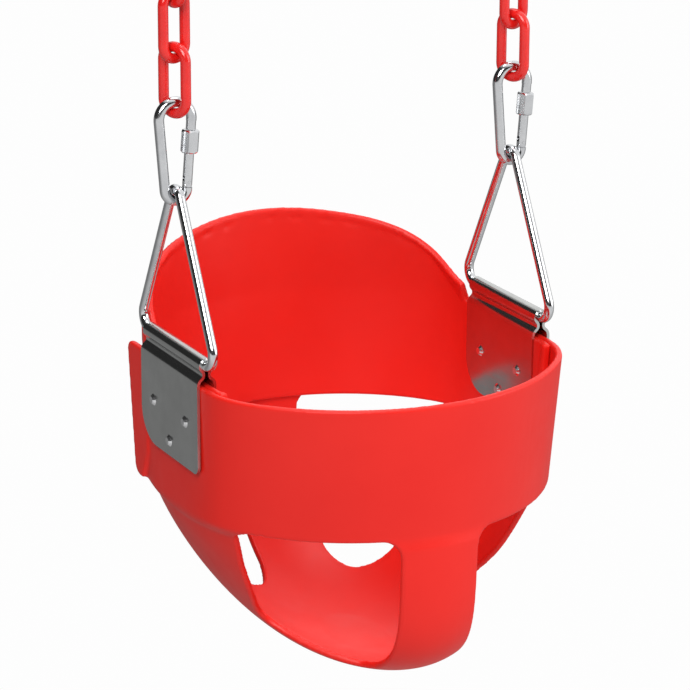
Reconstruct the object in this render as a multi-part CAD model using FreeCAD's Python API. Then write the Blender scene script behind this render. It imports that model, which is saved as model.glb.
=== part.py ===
import FreeCAD, Part
import math
import os

# Toddler bucket swing: a moulded high-back bucket that hangs from two steel triangles, four
# screw-lock spring hooks and two short runs of coated chain.
# Millimetres. The origin is midway between the two beam eyes that the upper hooks hang on.
# +Z is up and -Y is the front. Left and right are as seen from the front, so right is +X.

V = FreeCAD.Vector

# ---- driving dimensions -------------------------------------------------------------------
HALF_SPAN = 131.0            # centre plane to each hanging line

HANGER_ROD = 8.0             # diameter of the beam eye that each upper hook hangs on
HOOK_ROD = 7.2               # rod diameter of a spring hook
HOOK_LENGTH = 76.0           # overall
HOOK_WIDE_R = 12.0           # centre-line radius of the wide bow
HOOK_NARROW_R = 8.2          # centre-line radius of the narrow bow
NOSE_LENGTH = 7.0            # straight nose past the wide bow
NOSE_ROD = 6.8               # threaded nose and gate diameter
PIVOT_AT = 43.5              # gate pivot, measured down the gate line from the wide bow
GATE_GAP = 0.4               # nose to gate
NUT_LENGTH = 16.0
NUT_FLATS = 11.6
NUT_BORE = 7.0
NUT_CHAMFER = 1.6
PIN_D = 2.0
TONGUE_T = 3.0               # flattened end of the hook inside the forked gate
TONGUE_HALF = 3.0            # its half-width in the hook's plane
FORK_DEPTH = 4.2             # the gate's slot above the pivot
SHOULDER_GAP = 0.4           # gate end to the hook's shoulder
SPRING_WIRE = 0.6
SPRING_R = 1.6               # coil centre line
SPRING_PITCH = 2.2
SPRING_LENGTH = 15.0
SPRING_BORE = 4.0
BORE_DEPTH = 20.0            # the spring's bore above the pivot

LINK_ROD = 7.2               # plastisol-coated bar of the chain
LINK_WIDTH = 26.5            # outside
LINK_CENTRE_LENGTH = 45.8    # between the two crossing bars, centre to centre
LINK_TWISTS = [9.0, 108.0, 27.0]     # each link's plane, in degrees about the vertical
CROSSING_GAP = 0.7           # rest gap where two rods cross

TRIANGLE_ROD = 7.0
TRIANGLE_HALF_BASE = 65.5    # theoretical corner to centre
TRIANGLE_HEIGHT = 121.5      # theoretical apex above the bar axis
TRIANGLE_CORNER_R = 10.0
TRIANGLE_APEX_R = 8.0

SHEET = 2.0                  # steel of the folded hinge plate
PLATE_HALF_WIDTH = 48.0
PLATE_DROP = 78.0            # bar axis to the lower edge
PLATE_REAR_R = 25.0          # rear lower corner
PLATE_FRONT_R = 6.0          # front lower corner
LOOP_CLEARANCE = 0.1         # radial, bar in the rolled loop
PINCH_R = 4.0                # concave neck under the loop
SHOULDER_R = 6.0             # convex shoulder above the flat leaf
RIVET_D = 5.0
RIVET_HEAD_D = 8.5
RIVET_HEAD_H = 1.9
RIVET_UPPER_DROP = 45.0      # below the bar axis
RIVET_LOWER_DROP = 67.0
RIVET_HALF_PITCH = 27.0

WALL = 5.0                   # moulded seat wall
LAYER_GAP = 0.3              # between the two mouldings where they lap
LEAF_GAP = 0.05              # between a plate's leaf and the moulding under it
RIM_DROP = 15.0              # heights of the seat are drops below the bar axis
BELLY_DROP = 95.0
BELT_DROP = 111.0            # the straight wall ends here, all round
STEP_DROP = 119.0            # and has stepped in to the bowl here
STEP_COUNT = 4
BOTTOM_DROP = 236.0
RIM_R = 153.5
BELLY_R = 146.6
FLAT_HALF = 136.15           # outside half-width at the plates
BLEND = 4.0                  # softness of the change from round to flat
WIDTH_CURVE = (1.0, 0.418)   # how the bowl closes below the belly, as the two powers of closing()
FRONT_CURVE = (6.0, 0.369)
REAR_CURVE = (3.0, 0.546)
BACK_PEAK = 48.5             # top of the high back above the bar axis
BACK_LOWER_DROP = 98.5
TAIL_BACK = 66.0             # rear end of the front moulding's round side walls
EAR_FRONT = 44.0             # the flat ear that carries each side wall on past the plate, front to rear
EAR_TOP_BACK = 79.0
EAR_LOW_BACK = 67.0
EAR_FOOT = 54.0
EAR_DROP = 112.0
EAR_FLUSH_DROP = 90.0        # the ear's front edge leaves the side wall here
EAR_TOP_R = 6.0
EAR_LOW_R = 9.0
PLATE_MARGIN = 1.0           # flat seat of the plates past their edges
WING_FRONT = 66.0            # front end of the back's side wings
STRAP_HALF = 29.8            # crotch strap
SPINE_HALF = 28.5            # rear spine under the back
TAB_HALF = 43.0              # the spine's upper end, lapped outside the back
TAB_TOP_DROP = 58.0
LEG_TOP_DROP = 112.0
OPENING_RISE = 2.0           # how far the rear openings reach up behind the back's lower edge
HOLE_START = 20.0            # the openings are cut from this far out of the centre plane
STRAP_CORNER_R = 13.0
HOLE_CORNER_R = 5.0
SPINE_CORNER_R = 10.0
CREST_START = 54.0           # the back rises above the rim behind this Y position
OVERSHOOT = 10.0             # cutting shapes reach this far past an edge
FAR = 240.0                  # well outside the seat, for the cutting shapes

# ---- heights of the hanging parts -----------------------------------------------------------
ROD_CROSS = LINK_ROD + CROSSING_GAP
HOOK_CENTRE_LENGTH = HOOK_LENGTH - HOOK_ROD
UPPER_EYE_Z = (HOOK_ROD + HANGER_ROD) / 2.0
UPPER_HOOK_LOW_Z = UPPER_EYE_Z - HOOK_CENTRE_LENGTH
LINK_STEP = LINK_CENTRE_LENGTH - ROD_CROSS
LINK_TOPS_Z = [UPPER_HOOK_LOW_Z + ROD_CROSS - i * LINK_STEP for i in range(len(LINK_TWISTS))]
LOWER_EYE_Z = LINK_TOPS_Z[-1] - LINK_CENTRE_LENGTH + ROD_CROSS
LOWER_HOOK_LOW_Z = LOWER_EYE_Z - HOOK_CENTRE_LENGTH
APEX_Z = LOWER_HOOK_LOW_Z + (HOOK_ROD + TRIANGLE_ROD) / 2.0 + CROSSING_GAP
LEG_LEAN = math.atan2(TRIANGLE_HALF_BASE, TRIANGLE_HEIGHT)
APEX_INSET = TRIANGLE_APEX_R * (1.0 / math.sin(LEG_LEAN) - 1.0)
BAR_Z = APEX_Z - (TRIANGLE_HEIGHT - APEX_INSET)

SIDES = {"left": -1.0, "right": 1.0}


def save(shape, name):
    """Check one sub-part and write it as parts/NAME.step."""
    if not shape.isValid():
        raise ValueError(name + " is not a valid shape")
    shape.exportStep(os.path.join("parts", name + ".step"))
    print(name, len(shape.Solids), "solid(s)", round(shape.Volume / 1000.0, 2), "cm3")


# ---- round-rod sweeps ----------------------------------------------------------------------
def arc_between(centre, radius, start_deg, end_deg, plane):
    """An arc in the plane of the two unit vectors, through three of its points."""
    across, upward = plane
    angles = [start_deg, (start_deg + end_deg) / 2.0, end_deg]
    points = []
    for angle in angles:
        turn = math.radians(angle)
        points.append(centre + across * (radius * math.cos(turn)) + upward * (radius * math.sin(turn)))
    return Part.Arc(points[0], points[1], points[2]).toShape(), points[0], points[2]


def line(start, end):
    return Part.LineSegment(start, end).toShape()


# ---- chain ------------------------------------------------------------------------------------
def chain_link(side, top_z, twist_deg):
    """A long link: two straight bars and two half rings, its plane turned about the vertical."""
    radius = (LINK_WIDTH - LINK_ROD) / 2.0
    turn = math.radians(twist_deg)
    across = V(math.sin(turn), -math.cos(turn), 0)
    plane = (across, V(0, 0, 1))
    upper = V(side * HALF_SPAN, 0, top_z - radius)
    lower = V(side * HALF_SPAN, 0, top_z - LINK_CENTRE_LENGTH + radius)
    top_arc, top_start, top_end = arc_between(upper, radius, 0, 180, plane)
    low_arc, low_start, low_end = arc_between(lower, radius, 180, 360, plane)
    bars = [line(top_end, low_start), line(low_end, top_start)]
    start = (top_start + low_end) * 0.5
    half = [line(start, top_start), top_arc, bars[0], low_arc, line(low_end, start)]
    ring = Part.Wire([Part.makeCircle(LINK_ROD / 2.0, start, V(0, 0, 1))])
    return Part.Wire(half).makePipeShell([ring], True, False)


# ---- spring hook ------------------------------------------------------------------------------
class HookFrame:
    """Positions on one hook. The gate is on the +X side; a flipped hook has its wide bow down."""

    def __init__(self, side, wide_top_z, flipped):
        self.up = -1.0 if flipped else 1.0
        self.x = side * HALF_SPAN
        self.centre_length = HOOK_CENTRE_LENGTH - HOOK_WIDE_R - HOOK_NARROW_R
        self.wide_z = wide_top_z - self.up * HOOK_WIDE_R
        self.narrow_z = self.wide_z - self.up * self.centre_length
        self.tilt = math.asin((HOOK_WIDE_R - HOOK_NARROW_R) / self.centre_length)
        self.plane = (V(1, 0, 0), V(0, 0, self.up))

    def wide(self):
        return V(self.x, 0, self.wide_z)

    def narrow(self):
        return V(self.x, 0, self.narrow_z)

    def gate_start(self):
        """Where the gate line leaves the wide bow."""
        return self.wide() + self.outward() * HOOK_WIDE_R

    def outward(self):
        return V(math.cos(self.tilt), 0, -self.up * math.sin(self.tilt))

    def along(self):
        """Unit vector down the gate line, from the wide bow to the narrow one."""
        return V(-math.sin(self.tilt), 0, -self.up * math.cos(self.tilt))

    def on_gate(self, distance):
        return self.gate_start() + self.along() * distance


def stub(frame, start, end, diameter):
    """A round bar on the gate line between two distances."""
    return Part.makeCylinder(diameter / 2.0, end - start, frame.on_gate(start), frame.along())


def slab(frame, start, end, half_width, half_thickness):
    """A flat bar on the gate line: half_width in the hook's plane, half_thickness along Y."""
    block = Part.makeBox(2 * half_width, 2 * half_thickness, end - start,
                         V(-half_width, -half_thickness, start))
    turn = FreeCAD.Rotation(V(0, 0, 1), frame.along())
    block.Placement = FreeCAD.Placement(frame.gate_start(), turn)
    return block


def pivot_barrel(frame, radius, half_length):
    at = frame.on_gate(PIVOT_AT)
    return Part.makeCylinder(radius, 2 * half_length, at - V(0, half_length, 0), V(0, 1, 0))


def hook_body(frame):
    """The bent rod: threaded nose, wide bow, spine, narrow bow and the flattened tongue."""
    tilt = math.degrees(frame.tilt)
    shoulder = PIVOT_AT + NOSE_ROD / 2.0 + SHOULDER_GAP
    wide_arc, _, spine_top = arc_between(frame.wide(), HOOK_WIDE_R, -tilt, 180 + tilt, frame.plane)
    narrow_arc, spine_low, _ = arc_between(frame.narrow(), HOOK_NARROW_R, 180 + tilt, 360 - tilt,
                                           frame.plane)
    gate_start = frame.gate_start()
    gate_end = frame.narrow() + frame.outward() * HOOK_NARROW_R
    edges = [line(frame.on_gate(1.0), gate_start), wide_arc, line(spine_top, spine_low),
             narrow_arc, line(gate_end, frame.on_gate(shoulder))]
    ring = Part.Wire([Part.makeCircle(HOOK_ROD / 2.0, frame.on_gate(1.0), frame.along())])
    body = Part.Wire(edges).makePipeShell([ring], True, False)
    nose = stub(frame, 0.5, NOSE_LENGTH, NOSE_ROD)
    tongue = slab(frame, PIVOT_AT, shoulder + 1.0, TONGUE_HALF, TONGUE_T / 2.0)
    tongue = tongue.fuse(pivot_barrel(frame, TONGUE_HALF, TONGUE_T / 2.0))
    body = body.fuse([nose, tongue])
    return body.cut(pivot_barrel(frame, PIN_D / 2.0, HOOK_ROD)).removeSplitter()


def hook_gate(frame):
    """The forked gate with a blind bore for its spring."""
    top = NOSE_LENGTH + GATE_GAP
    gate = stub(frame, top, PIVOT_AT, NOSE_ROD)
    end = pivot_barrel(frame, NOSE_ROD / 2.0, NOSE_ROD / 2.0)
    round_bar = stub(frame, top, PIVOT_AT + NOSE_ROD, NOSE_ROD)
    gate = gate.fuse(end.common(round_bar))
    slot = slab(frame, PIVOT_AT - FORK_DEPTH, PIVOT_AT + NOSE_ROD, NOSE_ROD, TONGUE_T / 2.0 + 0.2)
    bore = stub(frame, PIVOT_AT - BORE_DEPTH, PIVOT_AT, SPRING_BORE)
    hole = pivot_barrel(frame, PIN_D / 2.0 + 0.05, HOOK_ROD)
    return gate.cut([slot, bore, hole]).removeSplitter()


def gate_spring(frame):
    """The coil spring between the bore's blind end and the tongue."""
    helix = Part.makeHelix(SPRING_PITCH, SPRING_LENGTH, SPRING_R)
    ring = Part.Wire([Part.makeCircle(SPRING_WIRE / 2.0, V(SPRING_R, 0, 0), V(0, 1, 0))])
    spring = Part.Wire(helix.Edges).makePipeShell([ring], True, True)
    turn = FreeCAD.Rotation(V(0, 0, 1), frame.along())
    start = frame.on_gate(PIVOT_AT - BORE_DEPTH + SPRING_WIRE)
    spring.Placement = FreeCAD.Placement(start, turn)
    return spring


def hook_nut(frame):
    """The hexagonal screw sleeve, backed off just clear of the nose, both ends chamfered."""
    corner_r = NUT_FLATS / 2.0 / math.cos(math.radians(30))
    points = []
    for corner in range(7):
        turn = math.radians(60 * corner)
        points.append(V(corner_r * math.cos(turn), corner_r * math.sin(turn), 0))
    nut = Part.Face(Part.makePolygon(points)).extrude(V(0, 0, NUT_LENGTH))
    half = NUT_LENGTH / 2.0
    small_r = corner_r - NUT_CHAMFER
    lower = Part.makeCone(small_r, small_r + half, half)
    upper = Part.makeCone(small_r + half, small_r, half, V(0, 0, half))
    nut = nut.common(lower.fuse(upper))
    nut = nut.cut(Part.makeCylinder(NUT_BORE / 2.0, NUT_LENGTH))
    turn = FreeCAD.Rotation(V(0, 0, 1), frame.along())
    nut.Placement = FreeCAD.Placement(frame.on_gate(NOSE_LENGTH + GATE_GAP), turn)
    return nut


def hook_pin(frame):
    return pivot_barrel(frame, PIN_D / 2.0, NOSE_ROD / 2.0)


# ---- triangle -----------------------------------------------------------------------------------
def triangle(side):
    """A rod bent to an isosceles triangle; its base is the hinge bar of the seat."""
    x = side * HALF_SPAN
    plane = (V(0, 1, 0), V(0, 0, 1))
    lean = math.degrees(LEG_LEAN)
    turn_at_base = 90.0 + lean
    setback = TRIANGLE_CORNER_R * math.tan(math.radians(turn_at_base / 2.0))
    bar_end = TRIANGLE_HALF_BASE - setback
    rear = V(x, bar_end, BAR_Z + TRIANGLE_CORNER_R)
    front = V(x, -bar_end, BAR_Z + TRIANGLE_CORNER_R)
    crown = V(x, 0, APEX_Z - TRIANGLE_APEX_R)
    rear_arc, rear_bar, rear_leg = arc_between(rear, TRIANGLE_CORNER_R, -90, lean, plane)
    apex_arc, apex_rear, apex_front = arc_between(crown, TRIANGLE_APEX_R, lean, 180 - lean, plane)
    front_arc, front_leg, front_bar = arc_between(front, TRIANGLE_CORNER_R, 180 - lean, 270, plane)
    middle = V(x, 0, BAR_Z)
    edges = [line(middle, rear_bar), rear_arc, line(rear_leg, apex_rear), apex_arc,
             line(apex_front, front_leg), front_arc, line(front_bar, middle)]
    ring = Part.Wire([Part.makeCircle(TRIANGLE_ROD / 2.0, middle, V(0, 1, 0))])
    return Part.Wire(edges).makePipeShell([ring], True, False)


# ---- hinge plate and rivets -----------------------------------------------------------------
def fold_edges(offset):
    """One face of the folded sheet as seen from the front, from one leaf over the bar to the
    other. The offset moves it outwards from the sheet's middle."""
    loop_r = TRIANGLE_ROD / 2.0 + LOOP_CLEARANCE + SHEET / 2.0
    leaf_x = WALL + LAYER_GAP / 2.0 + LEAF_GAP + SHEET / 2.0
    pinch = V(math.cos(math.radians(45)), 0, -math.sin(math.radians(45))) * (loop_r + PINCH_R)
    shoulder_x = leaf_x - SHOULDER_R
    drop = math.sqrt((PINCH_R + SHOULDER_R) ** 2 - (pinch.x - shoulder_x) ** 2)
    shoulder = V(shoulder_x, 0, pinch.z - drop)
    tangent = math.degrees(math.atan2(shoulder.z - pinch.z, shoulder.x - pinch.x))
    plane = (V(1, 0, 0), V(0, 0, 1))
    loop, loop_a, loop_b = arc_between(V(0, 0, 0), loop_r + offset, -45, 225, plane)
    neck, neck_a, neck_b = arc_between(pinch, PINCH_R - offset, 135, 360 + tangent, plane)
    bend, bend_a, bend_b = arc_between(shoulder, SHOULDER_R + offset, 180 + tangent, 0, plane)
    leaf_end = V(leaf_x + offset, 0, -PLATE_DROP - 5.0)
    half = [neck, bend, line(bend_b, leaf_end)]
    mirrored = [edge.mirror(V(0, 0, 0), V(1, 0, 0)) for edge in half]
    return [loop] + half + mirrored, leaf_end


def hinge_plate(side):
    """The sheet folded over the bar, with its two leaves either side of the seat wall."""
    outer, outer_end = fold_edges(SHEET / 2.0)
    inner, inner_end = fold_edges(-SHEET / 2.0)
    closing = []
    for sign in (-1.0, 1.0):
        closing.append(line(V(sign * outer_end.x, 0, outer_end.z), V(sign * inner_end.x, 0, inner_end.z)))
    edges = Part.__sortEdges__(outer + inner + closing)
    plate = Part.Face(Part.Wire(edges)).extrude(V(0, 2 * PLATE_HALF_WIDTH, 0))
    plate.translate(V(0, -PLATE_HALF_WIDTH, 0))
    outline = Part.makeBox(60, 2 * PLATE_HALF_WIDTH, PLATE_DROP + 20,
                           V(-30, -PLATE_HALF_WIDTH, -PLATE_DROP))
    outline = round_edge(outline, PLATE_REAR_R, 0, PLATE_HALF_WIDTH, -PLATE_DROP)
    outline = round_edge(outline, PLATE_FRONT_R, 0, -PLATE_HALF_WIDTH, -PLATE_DROP)
    plate = plate.common(outline)
    plate.translate(V(side * HALF_SPAN, 0, BAR_Z))
    return plate.cut(rivet_holes(side)).removeSplitter()


def round_edge(solid, radius, x, y, z):
    """Round the one edge along X that passes through (y, z)."""
    for edge in solid.Edges:
        centre = edge.CenterOfMass
        length_x = edge.BoundBox.XLength
        if length_x > 1.0 and abs(centre.y - y) < 0.01 and abs(centre.z - z) < 0.01:
            return solid.makeFillet(radius, [edge])
    raise ValueError("no edge to round")


def rivet_points():
    upper = BAR_Z - RIVET_UPPER_DROP
    lower = BAR_Z - RIVET_LOWER_DROP
    return [(-RIVET_HALF_PITCH, upper), (RIVET_HALF_PITCH, upper), (0.0, lower)]


def rivet_holes(side):
    holes = []
    for y, z in rivet_points():
        start = V(side * HALF_SPAN - 25, y, z)
        holes.append(Part.makeCylinder(RIVET_D / 2.0 + 0.02, 50, start, V(1, 0, 0)))
    return Part.makeCompound(holes)


def rivets(side):
    """Three rivets through both leaves and both mouldings, a domed head at each end."""
    half_grip = WALL + LAYER_GAP / 2.0 + 0.05 + SHEET
    solids = []
    for y, z in rivet_points():
        middle = V(side * HALF_SPAN, y, z)
        rivet = Part.makeCylinder(RIVET_D / 2.0, 2 * half_grip, middle - V(half_grip, 0, 0), V(1, 0, 0))
        for sign in (-1.0, 1.0):
            head = Part.makeCone(RIVET_HEAD_D / 2.0, RIVET_HEAD_D / 3.4, RIVET_HEAD_H,
                                 middle + V(sign * half_grip, 0, 0), V(sign, 0, 0))
            rivet = rivet.fuse(head)
        solids.append(rivet.removeSplitter())
    return Part.makeCompound(solids)


# ---- moulded seat -------------------------------------------------------------------------------
def soft_clip(value, limit):
    """The value, bent smoothly to stay under the limit."""
    return value - BLEND * math.log1p(math.exp((value - limit) / BLEND))


def closing(depth, curve):
    """The bowl's reach at a depth from 0 at the belly to 1 at the bottom, as a share of the belly's."""
    return (1.0 - depth ** curve[0]) ** curve[1]


def seat_size(drop, inset):
    """Half-width, half-depth and forward shift of the seat's plan at a drop below the bar."""
    rise = min((BELLY_DROP - drop) / (BELLY_DROP - RIM_DROP), 1.0)
    wall = BELLY_R + (RIM_R - BELLY_R) * rise - inset
    if drop <= BELT_DROP:
        return wall, wall, 0.0
    depth = (drop - BELLY_DROP) / (BOTTOM_DROP - inset - BELLY_DROP)
    stepped = min((drop - BELT_DROP) / (STEP_DROP - BELT_DROP), 1.0)
    reach = wall + (BELLY_R - inset - wall) * stepped
    width = 1.0 + (closing(depth, WIDTH_CURVE) - 1.0) * stepped
    front = 1.0 + (closing(depth, FRONT_CURVE) - 1.0) * stepped
    rear = 1.0 + (closing(depth, REAR_CURVE) - 1.0) * stepped
    return reach * width, reach * (front + rear) / 2.0, reach * (front - rear) / 2.0


def seat_section(drop, inset):
    """The seat's plan outline at one drop: an oval, flattened where the plates sit."""
    half_width, half_depth, forward = seat_size(drop, inset)
    count = 36
    points = []
    for i in range(count):
        angle = 2.0 * math.pi * (i + 0.5) / count
        reach = abs(half_width * math.sin(angle))
        x = math.copysign(soft_clip(reach, FLAT_HALF - inset), math.sin(angle))
        points.append(V(x, -forward - half_depth * math.cos(angle), BAR_Z - drop))
    curve = Part.BSplineCurve()
    curve.interpolate(Points=points, PeriodicFlag=True)
    return Part.Wire([curve.toShape()])


def seat_wall(top_drop, inset):
    """The straight-sided part of the solid inside the seat's surface moved inwards by the inset."""
    drops = [top_drop] * (top_drop < RIM_DROP) + [RIM_DROP, BELT_DROP]
    return Part.makeLoft([seat_section(drop, inset) for drop in drops], True, True)


def seat_body(top_drop, inset):
    """The whole of that solid: the straight wall, the step under it and the bowl."""
    rise = (STEP_DROP - BELT_DROP) / STEP_COUNT
    steps = [seat_section(BELT_DROP + i * rise, inset) for i in range(STEP_COUNT + 1)]
    depth = BOTTOM_DROP - inset - STEP_DROP
    bowl = [seat_section(STEP_DROP + share * depth, inset) for share in BOWL_STEPS]
    lower = Part.makeLoft(steps, True, True).fuse(Part.makeLoft(bowl, True, False))
    return seat_wall(top_drop, inset).fuse(lower)


BOWL_STEPS = [0.0, 0.11, 0.22, 0.33, 0.44, 0.55, 0.65, 0.74, 0.82, 0.885, 0.935, 0.968, 0.988]


def prism(edges, y_start, y_end):
    """A solid from an outline in the plane of X and drop, between two Y positions."""
    face = Part.Face(Part.Wire(Part.__sortEdges__(edges)))
    solid = face.extrude(V(0, y_end - y_start, 0))
    solid.translate(V(0, y_start, 0))
    return solid


def spline(points):
    curve = Part.BSplineCurve()
    curve.interpolate(points)
    return curve.toShape()


def at(x, drop):
    return V(x, 0, BAR_Z - drop)


def round_corner(solid, radius, x, drop):
    """Round the prism's edge along Y that passes through (x, drop)."""
    for edge in solid.Edges:
        centre = edge.CenterOfMass
        along_y = edge.BoundBox.YLength > 1.0 and edge.BoundBox.XLength < 0.01
        if along_y and abs(centre.x - x) < 0.01 and abs(centre.z - BAR_Z + drop) < 0.01:
            return solid.makeFillet(radius, [edge])
    raise ValueError("no corner to round")


def leg_hole(side):
    """The opening between the crotch strap, the front band and the side web."""
    top = LEG_TOP_DROP
    inner = side * STRAP_HALF
    outer = side * 122.8
    foot = 223.0
    edge = spline([at(outer, top), at(side * 119.6, 121), at(side * 112.2, 144), at(side * 100.5, 171),
                   at(side * 86.0, 195), at(side * 70.0, 209), at(side * 52.0, 217.5), at(inner, foot)])
    outline = [line(at(inner, top), at(outer, top)), edge, line(at(inner, foot), at(inner, top))]
    cutter = prism(outline, -FAR, -HOLE_START)
    cutter = round_corner(cutter, STRAP_CORNER_R, inner, top)
    cutter = round_corner(cutter, HOLE_CORNER_R, outer, top)
    return round_corner(cutter, HOLE_CORNER_R, inner, foot)


def rear_opening(side):
    """The opening under the back, between the spine and the side web."""
    top = BACK_LOWER_DROP - OPENING_RISE
    inner = side * SPINE_HALF
    outer = side * 124.0
    foot = 217.5
    edge = spline([at(outer, top), at(side * 119.0, 120), at(side * 108.5, 143), at(side * 93.0, 170),
                   at(side * 77.5, 192), at(side * 65.0, 204), at(side * 48.0, 214), at(inner, foot)])
    outline = [line(at(inner, top), at(outer, top)), edge, line(at(inner, foot), at(inner, top))]
    cutter = prism(outline, HOLE_START, FAR)
    cutter = round_corner(cutter, STRAP_CORNER_R, inner, top)
    return round_corner(cutter, SPINE_CORNER_R, inner, foot)


def block(x_half, y_start, y_end, top_drop, low_drop):
    """A box centred on X between two Y positions and two drops."""
    corner = V(-x_half, y_start, BAR_Z - low_drop)
    return Part.makeBox(2 * x_half, y_end - y_start, low_drop - top_drop, corner)


def plate_seat(outwards):
    """What is cut away so that both leaves of the plates lie on flats, inside or outside the walls."""
    edge = PLATE_HALF_WIDTH + PLATE_MARGIN
    face = HALF_SPAN + outwards * (WALL + LAYER_GAP / 2.0 + LEAF_GAP / 2.0)
    inside = block(face, -edge, edge, -FAR, PLATE_DROP + PLATE_MARGIN)
    if outwards < 0:
        return inside
    return block(FAR, -edge, edge, -FAR, PLATE_DROP + PLATE_MARGIN).cut(inside)


def ear(side):
    """The flat rear end of a side wall, which stands clear of the round back."""
    corners = [V(0, EAR_FRONT, BAR_Z - RIM_DROP), V(0, EAR_TOP_BACK, BAR_Z - RIM_DROP),
               V(0, EAR_LOW_BACK, BAR_Z - EAR_DROP), V(0, EAR_FOOT, BAR_Z - EAR_DROP),
               V(0, EAR_FRONT, BAR_Z - EAR_FLUSH_DROP)]
    face = Part.Face(Part.makePolygon(corners + corners[:1]))
    plate = face.extrude(V(WALL, 0, 0))
    plate = round_edge(plate, EAR_TOP_R, 0, EAR_TOP_BACK, BAR_Z - RIM_DROP)
    plate = round_edge(plate, EAR_LOW_R, 0, EAR_LOW_BACK, BAR_Z - EAR_DROP)
    start = FLAT_HALF - WALL if side > 0 else -FLAT_HALF
    plate.translate(V(start, 0, 0))
    return plate


def seat_base():
    """Front band, crotch strap, side webs, floor and rear spine in one moulding."""
    base = seat_body(RIM_DROP, 0.0).cut(seat_body(RIM_DROP - OVERSHOOT, WALL))
    behind = block(FAR, TAIL_BACK, FAR, -FAR, BACK_LOWER_DROP - OPENING_RISE)
    tab = block(TAB_HALF, 0.0, FAR, TAB_TOP_DROP, FAR)
    tab = round_corner(tab, STRAP_CORNER_R, -TAB_HALF, TAB_TOP_DROP)
    tab = round_corner(tab, STRAP_CORNER_R, TAB_HALF, TAB_TOP_DROP)
    base = base.cut(behind.cut(tab))
    base = base.cut(plate_seat(1.0))
    for side in SIDES.values():
        base = base.fuse(ear(side))
        base = base.cut(leg_hole(side))
        base = base.cut(rear_opening(side))
        base = base.cut(rivet_holes(side))
    return base.removeSplitter()


def crest_cutter():
    """Everything above the back's edge: a long curve that falls to the rim behind the plates."""
    half = [at(0, -BACK_PEAK), at(33, -46.8), at(62, -42.5), at(88, -36.5), at(106, -28),
            at(117, -17.5), at(123, -6.0), at(126.8, 4.0), at(129.2, 12.0)]
    mirrored = [V(-point.x, 0, point.z) for point in half[:0:-1]]
    rim = at(FLAT_HALF, RIM_DROP)
    far = at(FAR, RIM_DROP)
    above = at(FAR, -FAR)
    right = [half[-1], rim, far, above]
    left = [V(-point.x, 0, point.z) for point in reversed(right)]
    corners = right + left
    outline = [spline(mirrored + half)]
    for start, end in zip(corners[:-1], corners[1:]):
        outline.append(line(start, end))
    return prism(outline, CREST_START, FAR)


def high_back():
    """The back panel with its side wings, lapped inside the base and held by the rivets."""
    inset = WALL + LAYER_GAP
    top = -BACK_PEAK - OVERSHOOT
    back = seat_wall(top, inset).cut(seat_wall(top - OVERSHOOT, inset + WALL))
    below = block(FAR, -FAR, FAR, BACK_LOWER_DROP, FAR)
    in_front = block(FAR, -FAR, -WING_FRONT, -FAR, FAR)
    over_wings = block(FAR, -WING_FRONT, CREST_START, -FAR, RIM_DROP)
    back = back.cut([below, in_front, over_wings, crest_cutter(), plate_seat(-1.0)])
    for side in SIDES.values():
        back = back.cut(rivet_holes(side))
    return back.removeSplitter()


# ---- build ------------------------------------------------------------------------------------
def build():
    os.makedirs("parts", exist_ok=True)
    save(seat_base(), "seat_base")
    save(high_back(), "high_back")
    for name, side in SIDES.items():
        save(hinge_plate(side), name + "_hinge_plate")
        save(rivets(side), name + "_rivets")
        save(triangle(side), name + "_triangle")
        for i, top_z in enumerate(LINK_TOPS_Z):
            save(chain_link(side, top_z, LINK_TWISTS[i]), name + "_chain_link_" + str(i + 1))
        hooks = {"upper": HookFrame(side, UPPER_HOOK_LOW_Z, True),
                 "lower": HookFrame(side, LOWER_EYE_Z, False)}
        for place, frame in hooks.items():
            stem = name + "_" + place + "_hook"
            save(hook_body(frame), stem + "_body")
            save(hook_gate(frame), stem + "_gate")
            save(gate_spring(frame), stem + "_spring")
            save(hook_nut(frame), stem + "_nut")
            save(hook_pin(frame), stem + "_pin")


build()
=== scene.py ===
import math

import bmesh
import bpy
from mathutils import Matrix, Vector
from mathutils.bvhtree import BVHTree


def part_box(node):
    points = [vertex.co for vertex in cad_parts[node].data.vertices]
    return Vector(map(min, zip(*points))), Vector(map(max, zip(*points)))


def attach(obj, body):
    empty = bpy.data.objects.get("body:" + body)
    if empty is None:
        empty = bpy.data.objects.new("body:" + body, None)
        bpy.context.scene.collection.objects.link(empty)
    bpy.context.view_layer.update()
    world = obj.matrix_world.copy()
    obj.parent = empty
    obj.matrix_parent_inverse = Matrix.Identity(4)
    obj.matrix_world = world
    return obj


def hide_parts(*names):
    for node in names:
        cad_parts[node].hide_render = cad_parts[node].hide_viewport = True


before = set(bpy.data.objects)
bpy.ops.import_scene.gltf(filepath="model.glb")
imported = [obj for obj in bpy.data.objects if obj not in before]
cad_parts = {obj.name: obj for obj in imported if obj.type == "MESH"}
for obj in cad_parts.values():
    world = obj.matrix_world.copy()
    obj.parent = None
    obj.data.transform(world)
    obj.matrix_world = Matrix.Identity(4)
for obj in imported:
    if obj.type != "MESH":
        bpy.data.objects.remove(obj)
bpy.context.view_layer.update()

# Toddler bucket swing. The two red mouldings are remade as even shells with rolled edges, and the
# metal and the coated chain keep their CAD shapes. Metres, +Z up, -Y the front.

# ---- where things are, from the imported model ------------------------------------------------
TRIANGLE_ROD = 0.007            # thickness of the hangers' bent rod
BAR_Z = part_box("left_triangle")[0].z + TRIANGLE_ROD / 2
SEAT_LOW, SEAT_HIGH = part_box("seat_base")
SEAT_MIDDLE = Vector((0.0, 0.0, (SEAT_LOW.z + SEAT_HIGH.z) / 2))

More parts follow.
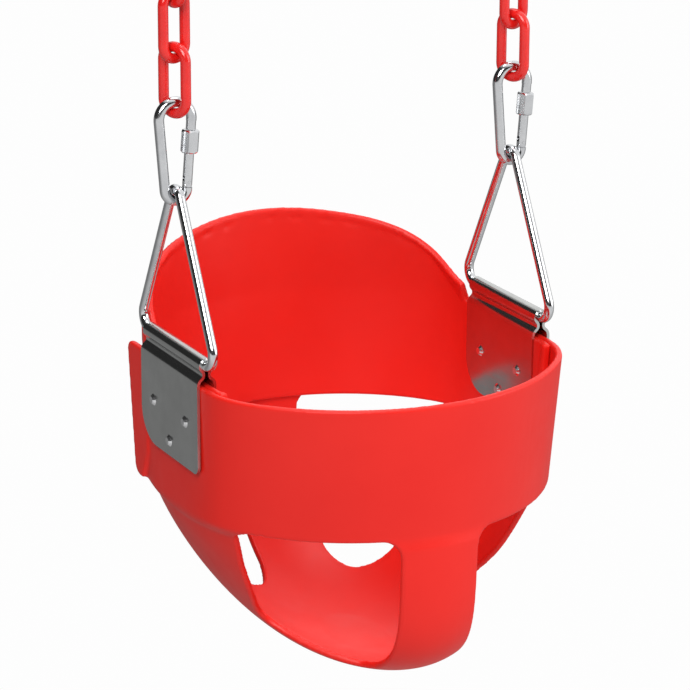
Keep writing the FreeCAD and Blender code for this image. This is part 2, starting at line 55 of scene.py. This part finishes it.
# ---- camera ---------------------------------------------------------------------------------
CAMERA_AZIMUTH = -26.9          # degrees; 0 looks along +Y
CAMERA_ELEVATION = 16.95
CAMERA_ROLL = 0.25
CAMERA_DISTANCE = 2.25          # to the middle of the hanging bars
CAMERA_LENS = 165.64            # mm
CAMERA_SENSOR = 36.0            # mm
CAMERA_SHIFT = (-0.0029, -0.0318)
CAMERA_REACH = 200.0            # past the far edge of the floor

# ---- shells ---------------------------------------------------------------------------------
SHELL_WALL = 0.005              # moulded wall
WALL_REACH = 0.0085             # a skin has the wall's far side nearer than this; a cut edge doesn't
SKIN_SHARE = 0.5                # of a smooth patch's area, for the patch to count as skin
SHELL_VOXEL = 0.0012
SHELL_SMOOTHING = 9             # passes, which roll the edges to about 2 mm
MERGE_DISTANCE = 1e-5
SHARP = math.radians(32.0)      # between the skin and the edges cut through it
SLIVER = 2e-6                   # square metres; a smaller face between skin faces belongs to the skin

# ---- materials ------------------------------------------------------------------------------
SEAT_DEEP = (0.820, 0.0140, 0.0085)     # colours are linear
SEAT_LIGHT = (0.870, 0.0190, 0.0115)
COATING_THICK = (0.70, 0.008, 0.007)
COATING_THIN = (0.83, 0.018, 0.013)
METAL_MARK_DEPTH = 0.0001               # metres

# ---- studio ---------------------------------------------------------------------------------
FLOOR_Z = SEAT_LOW.z - 0.75
FLOOR_HALF = 30.0
FLOOR_SHOWN = 0.985             # how white the floor looks to the camera
FLOOR_FRONT = 0.78              # how bright the floor lies before the object, as the object feels it
FLOOR_REAR = 0.24               # and behind it
FLOOR_TURN = 0.02               # half-width of the change, as a share of the floor
ROOM_TOWARDS = (0.75, 0.10, 0.65)       # the room's bright side
ROOM_STOPS = ((0.30, 0.03), (0.50, 1.0))
SOFTBOXES = (                   # name, place, size, watts
    ("key", (-1.3, -1.7, 1.3), (1.3, 1.3), 52.0),
    ("fill", (2.1, -1.5, 0.3), (1.2, 1.6), 17.0),
    ("top", (0.2, 0.3, 1.6), (1.0, 1.0), 12.0),
)


# ---- node helpers ---------------------------------------------------------------------------
class Nodes:
    """A material's node tree, with one short call for each kind of node the materials use."""

    def __init__(self, name):
        self.material = bpy.data.materials.new(name)
        self.material.use_nodes = True
        self.tree = self.material.node_tree
        self.shader = self.tree.nodes["Principled BSDF"]
        self.coordinates = self.tree.nodes.new("ShaderNodeTexCoord")
        self.place = self.coordinates.outputs["Object"]

    def link(self, source, target):
        self.tree.links.new(source, target)

    def stretch(self, scale):
        """The object's own coordinates, scaled differently along each axis."""
        node = self.tree.nodes.new("ShaderNodeMapping")
        node.inputs["Scale"].default_value = scale
        self.link(self.place, node.inputs["Vector"])
        return node.outputs["Vector"]

    def noise(self, scale, detail=3.0, roughness=0.5, place=None):
        """A cloudy factor about 0.5; the scale is roughly in lumps per metre."""
        node = self.tree.nodes.new("ShaderNodeTexNoise")
        node.inputs["Scale"].default_value = scale
        node.inputs["Detail"].default_value = detail
        node.inputs["Roughness"].default_value = roughness
        self.link(place or self.place, node.inputs["Vector"])
        return node.outputs["Fac"]

    def ramp(self, factor, stops):
        """A colour from a factor, by (position, colour) stops."""
        node = self.tree.nodes.new("ShaderNodeValToRGB")
        for point, (position, colour) in zip(node.color_ramp.elements, stops):
            point.position = position
            point.color = (*colour, 1.0)
        self.link(factor, node.inputs["Fac"])
        return node.outputs["Color"]

    def spread(self, factor, low, high, start=0.3, end=0.7):
        """A number from low to high as the factor goes from start to end."""
        node = self.tree.nodes.new("ShaderNodeMapRange")
        for key, value in (("From Min", start), ("From Max", end), ("To Min", low), ("To Max", high)):
            node.inputs[key].default_value = value
        self.link(factor, node.inputs["Value"])
        return node.outputs["Result"]

    def bump(self, height, strength, distance, under=None):
        """A normal tilted by a height, over the normal of a finer bump if there is one under it."""
        node = self.tree.nodes.new("ShaderNodeBump")
        node.inputs["Strength"].default_value = strength
        node.inputs["Distance"].default_value = distance
        self.link(height, node.inputs["Height"])
        if under is not None:
            self.link(under, node.inputs["Normal"])
        return node.outputs["Normal"]

    def set(self, **values):
        """Constants on the shader's own sockets; an underscore stands for a space."""
        for key, value in values.items():
            self.shader.inputs[key.replace("_", " ")].default_value = value

    def drive(self, socket, source):
        self.link(source, self.shader.inputs[socket])


# ---- finishes -------------------------------------------------------------------------------
def moulded_plastic(name):
    """Satin red polyethylene: a slow colour drift, uneven gloss, a fine moulded grain and slight sinks."""
    nodes = Nodes(name)
    drift = nodes.noise(scale=9.0, detail=4.0, roughness=0.55)
    gloss = nodes.noise(scale=38.0, detail=5.0, roughness=0.6)
    grain = nodes.bump(nodes.noise(scale=1400.0, detail=2.0), strength=0.10, distance=0.0002)
    sinks = nodes.bump(nodes.noise(scale=22.0, detail=2.0), strength=0.08, distance=0.0012, under=grain)
    nodes.drive("Base Color", nodes.ramp(drift, ((0.30, SEAT_DEEP), (0.70, SEAT_LIGHT))))
    nodes.drive("Roughness", nodes.spread(gloss, low=0.36, high=0.45))
    nodes.drive("Normal", sinks)
    nodes.set(IOR=1.47, Specular_IOR_Level=0.36)
    return nodes.material


def dipped_coating(name):
    """Glossy red plastisol: thicker and thinner patches where it ran, under a clear skin."""
    nodes = Nodes(name)
    runs = nodes.noise(scale=60.0)
    ripple = nodes.noise(scale=90.0, detail=2.0)
    nodes.drive("Base Color", nodes.ramp(runs, ((0.25, COATING_THICK), (0.75, COATING_THIN))))
    nodes.drive("Roughness", nodes.spread(nodes.noise(scale=160.0), low=0.20, high=0.30))
    nodes.drive("Normal", nodes.bump(ripple, strength=0.12, distance=0.0008))
    nodes.set(IOR=1.5, Specular_IOR_Level=0.5, Coat_Weight=0.35, Coat_Roughness=0.10)
    return nodes.material


def bare_metal(name, dull, bright, patches, gloss, roughness, marks, mark_strength, stretch=None):
    """Metal with dull and bright patches, uneven gloss between two roughnesses, and fine marks.
    Patches, gloss and marks are noise scales; a stretch draws the gloss and the marks out in lines."""
    nodes = Nodes(name)
    place = nodes.stretch(stretch) if stretch else None
    patch_noise = nodes.noise(patches, detail=4.0, roughness=0.6)
    gloss_noise = nodes.noise(gloss, detail=4.0, place=place)
    mark_noise = nodes.noise(marks, place=place)
    nodes.drive("Base Color", nodes.ramp(patch_noise, ((0.28, dull), (0.72, bright))))
    nodes.drive("Roughness", nodes.spread(gloss_noise, *roughness))
    nodes.drive("Normal", nodes.bump(mark_noise, mark_strength, METAL_MARK_DEPTH))
    nodes.set(Metallic=1.0)
    return nodes.material


def zinc_rod():
    """Bright zinc on drawn rod."""
    return bare_metal("zinc_rod", dull=(0.60, 0.61, 0.63), bright=(0.76, 0.77, 0.78), patches=70.0,
                      gloss=240.0, roughness=(0.10, 0.20), marks=700.0, mark_strength=0.06)


def zinc_plate():
    """Zinc-plated sheet with long rolling marks along Y."""
    return bare_metal("zinc_plate", dull=(0.52, 0.53, 0.52), bright=(0.60, 0.61, 0.60), patches=40.0,
                      gloss=260.0, roughness=(0.15, 0.21), marks=300.0, mark_strength=0.03,
                      stretch=(1.0, 0.08, 1.0))


def set_rivet():
    """Rivet heads bruised by the setting tool."""
    return bare_metal("rivet_bright", dull=(0.70, 0.70, 0.71), bright=(0.84, 0.84, 0.85), patches=300.0,
                      gloss=700.0, roughness=(0.16, 0.28), marks=900.0, mark_strength=0.12)


def spring_wire():
    """Plain grey wire."""
    return bare_metal("spring_wire", dull=(0.34, 0.34, 0.35), bright=(0.50, 0.50, 0.51), patches=500.0,
                      gloss=900.0, roughness=(0.25, 0.40), marks=1800.0, mark_strength=0.10)


def paint(obj, material):
    obj.data.materials.clear()
    obj.data.materials.append(material)


# ---- moulded shells -------------------------------------------------------------------------
def smooth_patches(bm):
    """The faces in groups that no sharp edge divides."""
    seen = set()
    for first in bm.faces:
        if first in seen:
            continue
        seen.add(first)
        patch = []
        stack = [first]
        while stack:
            face = stack.pop()
            patch.append(face)
            for edge in face.edges:
                if len(edge.link_faces) == 2 and edge.calc_face_angle() < SHARP:
                    for other in edge.link_faces:
                        if other not in seen:
                            seen.add(other)
                            stack.append(other)
        yield patch


def is_skin(patch, tree):
    """Whether most of a patch faces outwards with the wall's far side close behind."""
    skin = 0.0
    total = 0.0
    for face in patch:
        centre = face.calc_center_median()
        area = face.calc_area()
        total += area
        if face.normal.dot(centre - SEAT_MIDDLE) > 0:
            start = centre - face.normal * MERGE_DISTANCE
            if tree.ray_cast(start, -face.normal, WALL_REACH)[0] is not None:
                skin += area
    return skin > SKIN_SHARE * total


def outer_skin(node):
    """The outer faces of a CAD moulding, without its inside and its cut edges."""
    bm = bmesh.new()
    bm.from_mesh(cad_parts[node].data)
    bmesh.ops.remove_doubles(bm, verts=bm.verts, dist=MERGE_DISTANCE)
    bm.normal_update()
    tree = BVHTree.FromBMesh(bm)
    skin = set()
    for patch in smooth_patches(bm):
        if is_skin(patch, tree):
            skin.update(patch)
    for face in bm.faces:
        if face not in skin and face.calc_area() < SLIVER:
            beside = [other for edge in face.edges for other in edge.link_faces if other in skin]
            if len(beside) > 1:
                skin.add(face)
    bmesh.ops.delete(bm, geom=[face for face in bm.faces if face not in skin], context="FACES")
    bm.normal_update()
    bm.verts.index_update()
    return bm


def walled(name, bm):
    """A mesh of a skin given an even wall, whose edges are square to the surface."""
    count = len(bm.verts)
    points = [v.co.copy() for v in bm.verts] + [v.co - v.normal * SHELL_WALL for v in bm.verts]
    outside = [[v.index for v in face.verts] for face in bm.faces]
    inside = [[i + count for i in reversed(face)] for face in outside]
    rims = []
    for edge in bm.edges:
        if len(edge.link_faces) == 1:
            start, end = (v.index for v in edge.verts)
            rims.append([start, end, end + count, start + count])
    mesh = bpy.data.meshes.new(name)
    mesh.from_pydata(points, [], outside + inside + rims)
    return mesh


def roll_edges(shell):
    """Remakes a shell as an even mesh and smooths it, which rolls every edge over."""
    even = shell.modifiers.new("even", "REMESH")
    even.mode = "VOXEL"
    even.voxel_size = SHELL_VOXEL
    even.adaptivity = 0.0
    rolled = shell.modifiers.new("rolled", "SMOOTH")
    rolled.factor = 0.5
    rolled.iterations = SHELL_SMOOTHING
    graph = bpy.context.evaluated_depsgraph_get()
    final = bpy.data.meshes.new_from_object(shell.evaluated_get(graph), depsgraph=graph)
    raw = shell.data
    shell.modifiers.clear()
    shell.data = final
    final.name = shell.name
    bpy.data.meshes.remove(raw)
    final.shade_smooth()


def moulding(node, name, material):
    """A moulded shell that stands for a CAD solid and rides with the bucket."""
    bm = outer_skin(node)
    shell = bpy.data.objects.new(name, walled(name + "_raw", bm))
    bm.free()
    bpy.context.scene.collection.objects.link(shell)
    roll_edges(shell)
    paint(shell, material)
    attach(shell, "bucket")
    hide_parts(node)


# ---- floor, light and camera ----------------------------------------------------------------
def softbox(name, place, size, power):
    """A rectangular lamp that faces the seat."""
    data = bpy.data.lights.new(name, "AREA")
    data.shape = "RECTANGLE"
    data.size, data.size_y = size
    data.energy = power
    lamp = bpy.data.objects.new(name, data)
    bpy.context.scene.collection.objects.link(lamp)
    lamp.location = place
    lamp.rotation_mode = "QUATERNION"
    lamp.rotation_quaternion = (SEAT_MIDDLE - lamp.location).to_track_quat("-Z", "Y")


def seen_as(tree, shown, felt, output):
    """The camera sees the one shader, and the object is lit by and reflects the other."""
    mix = tree.nodes.new("ShaderNodeMixShader")
    tree.links.new(tree.nodes.new("ShaderNodeLightPath").outputs["Is Camera Ray"], mix.inputs[0])
    tree.links.new(felt, mix.inputs[1])
    tree.links.new(shown, mix.inputs[2])
    tree.links.new(mix.outputs["Shader"], output.inputs["Surface"])


def floor_paint():
    """Plain white to look at; the light that it sends up is stronger before the object."""
    nodes = Nodes("floor_paint")
    along = nodes.tree.nodes.new("ShaderNodeSeparateXYZ")
    nodes.link(nodes.coordinates.outputs["Generated"], along.inputs["Vector"])
    stops = ((0.5 - FLOOR_TURN, (FLOOR_FRONT,) * 3), (0.5 + FLOOR_TURN, (FLOOR_REAR,) * 3))
    shown = nodes.tree.nodes.new("ShaderNodeEmission")
    shown.inputs["Color"].default_value = (FLOOR_SHOWN, FLOOR_SHOWN, FLOOR_SHOWN, 1.0)
    felt = nodes.tree.nodes.new("ShaderNodeEmission")
    nodes.link(nodes.ramp(along.outputs["Y"], stops), felt.inputs["Color"])
    output = nodes.tree.nodes["Material Output"]
    seen_as(nodes.tree, shown.outputs["Emission"], felt.outputs["Emission"], output)
    return nodes.material


def studio_floor():
    corners = [
        (x * FLOOR_HALF, y * FLOOR_HALF, FLOOR_Z)
        for x, y in ((-1, -1), (1, -1), (1, 1), (-1, 1))
    ]
    mesh = bpy.data.meshes.new("floor")
    mesh.from_pydata(corners, [], [(0, 1, 2, 3)])
    floor = bpy.data.objects.new("floor", mesh)
    bpy.context.scene.collection.objects.link(floor)
    paint(floor, floor_paint())


def studio_room():
    """Past the floor the camera sees plain white; the room that lights the object is bright overhead
    and to the right and dark to the left, which draws the dark bands along the bent metal."""
    world = bpy.data.worlds.new("studio")
    world.use_nodes = True
    bpy.context.scene.world = world
    tree = world.node_tree
    toward = tree.nodes.new("ShaderNodeVectorMath")
    toward.operation = "DOT_PRODUCT"
    toward.inputs[1].default_value = ROOM_TOWARDS
    tree.links.new(tree.nodes.new("ShaderNodeTexCoord").outputs["Generated"], toward.inputs[0])
    shade = tree.nodes.new("ShaderNodeValToRGB")
    for point, (position, brightness) in zip(shade.color_ramp.elements, ROOM_STOPS):
        point.position = position
        point.color = (brightness, brightness, brightness, 1.0)
    tree.links.new(toward.outputs["Value"], shade.inputs["Fac"])
    shown = tree.nodes["Background"]
    shown.inputs["Color"].default_value = (1.0, 1.0, 1.0, 1.0)
    felt = tree.nodes.new("ShaderNodeBackground")
    tree.links.new(shade.outputs["Color"], felt.inputs["Color"])
    output = tree.nodes["World Output"]
    seen_as(tree, shown.outputs["Background"], felt.outputs["Background"], output)


def studio_camera():
    """The photograph's viewing angle."""
    azimuth = math.radians(CAMERA_AZIMUTH)
    elevation = math.radians(CAMERA_ELEVATION)
    level = math.cos(elevation)
    back = Vector((math.sin(azimuth) * level, -math.cos(azimuth) * level, math.sin(elevation)))
    data = bpy.data.cameras.new("camera")
    data.sensor_width = CAMERA_SENSOR
    data.lens = CAMERA_LENS
    data.shift_x, data.shift_y = CAMERA_SHIFT
    data.clip_end = CAMERA_REACH
    camera = bpy.data.objects.new("camera", data)
    bpy.context.scene.collection.objects.link(camera)
    roll = Matrix.Rotation(math.radians(CAMERA_ROLL), 3, "Z")
    turn = (-back).to_track_quat("-Z", "Y").to_matrix() @ roll
    place = Vector((0.0, 0.0, BAR_Z)) + back * CAMERA_DISTANCE
    camera.matrix_world = Matrix.Translation(place) @ turn.to_4x4()
    bpy.context.scene.camera = camera


# ---- the swing ------------------------------------------------------------------------------
seat_red = moulded_plastic("seat_red")
moulding("seat_base", "seat_base_shell", seat_red)
moulding("high_back", "high_back_shell", seat_red)

# By a word in the node's name. The first that fits is taken, so a hook's spring is plain wire.
rod = zinc_rod()
FINISHES = (
    ("chain_link", dipped_coating("chain_red")),
    ("hinge_plate", zinc_plate()),
    ("rivets", set_rivet()),
    ("spring", spring_wire()),
    ("hook", rod),
    ("triangle", rod),
)
for node_name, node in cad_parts.items():
    for word, finish in FINISHES:
        if word in node_name:
            paint(node, finish)
            break

# ---- the studio -----------------------------------------------------------------------------
studio_floor()
studio_room()
for box in SOFTBOXES:
    softbox(*box)
studio_camera()
bpy.context.scene.view_settings.view_transform = "Standard"
